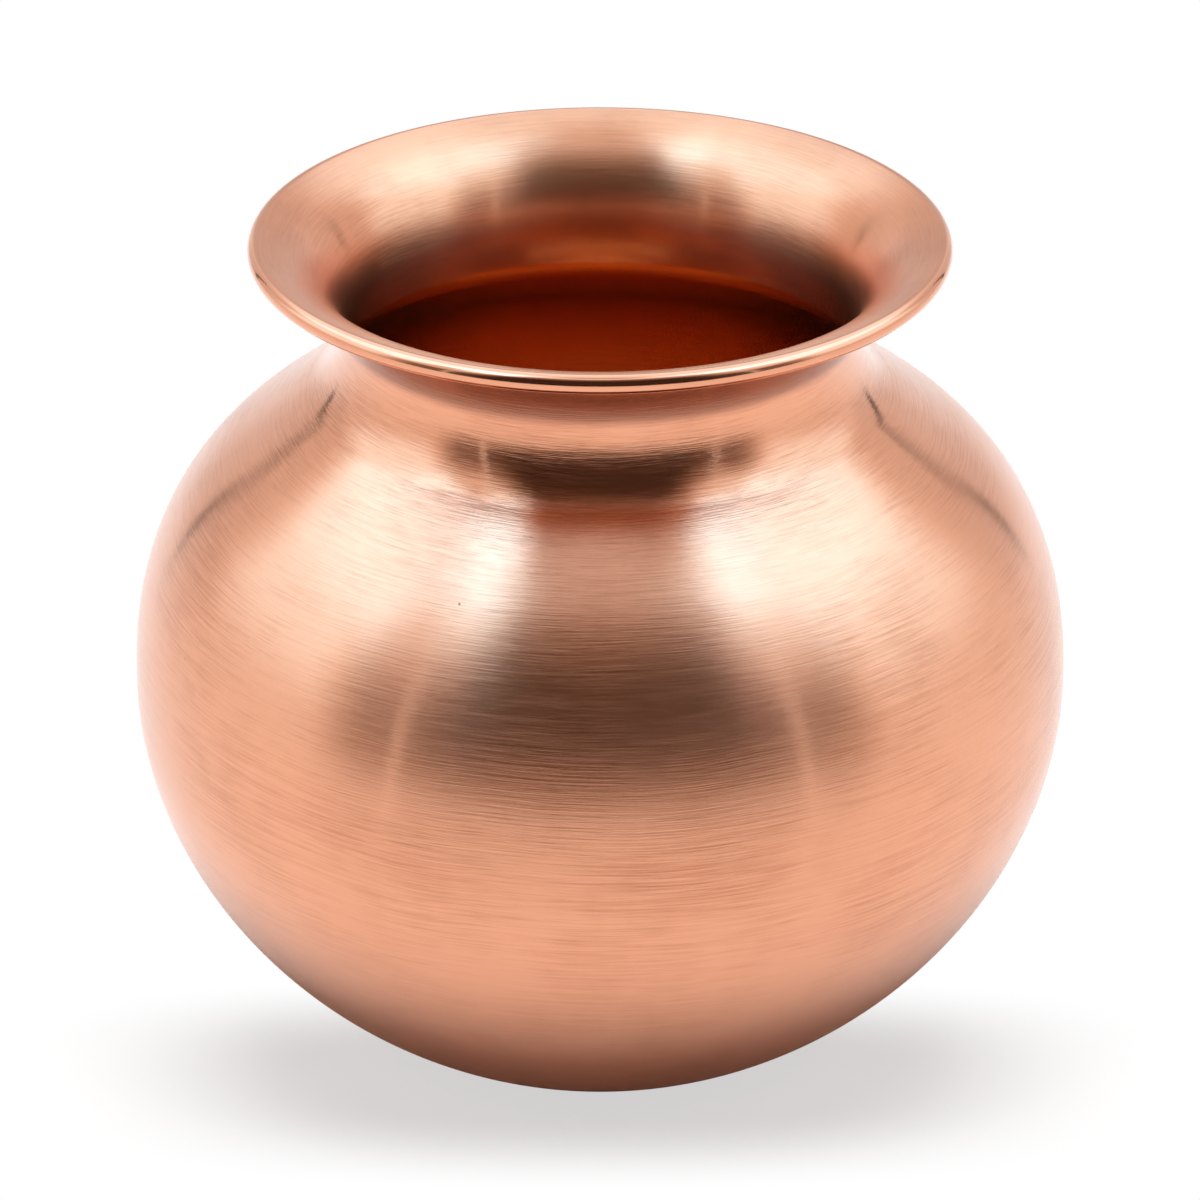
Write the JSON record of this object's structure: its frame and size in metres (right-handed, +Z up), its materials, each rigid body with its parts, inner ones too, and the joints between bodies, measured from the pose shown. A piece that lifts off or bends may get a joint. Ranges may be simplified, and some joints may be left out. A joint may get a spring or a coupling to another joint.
{
  "type": "kalash",
  "caption": "Copper kalash: round-bellied water pot with a flat base, narrow throat and wide flared mouth with a wired rolled lip.",
  "frame": {"origin": "middle of the base, on the surface that the pot stands on", "axes": "+Z up along the axis that the pot is turned about; +X and +Y are any two directions square to it, because the pot is round"},
  "size_m": [0.13, 0.13, 0.119],
  "materials": {
    "copper_bowl": "lathe-brushed bare copper",
    "copper_shoulder": "lathe-brushed bare copper",
    "copper_collar": "lathe-brushed bare copper, polished at the lip",
    "copper_wire": "drawn copper wire",
    "brazing_filler": "brazing filler as it set"
  },
  "bodies": {
    "root": {"bowl": "copper_bowl", "shoulder": "copper_shoulder", "mouth_collar": "copper_collar", "rim_wire": "copper_wire", "belly_braze": "brazing_filler", "neck_braze": "brazing_filler"}
  },
  "joints": []
}
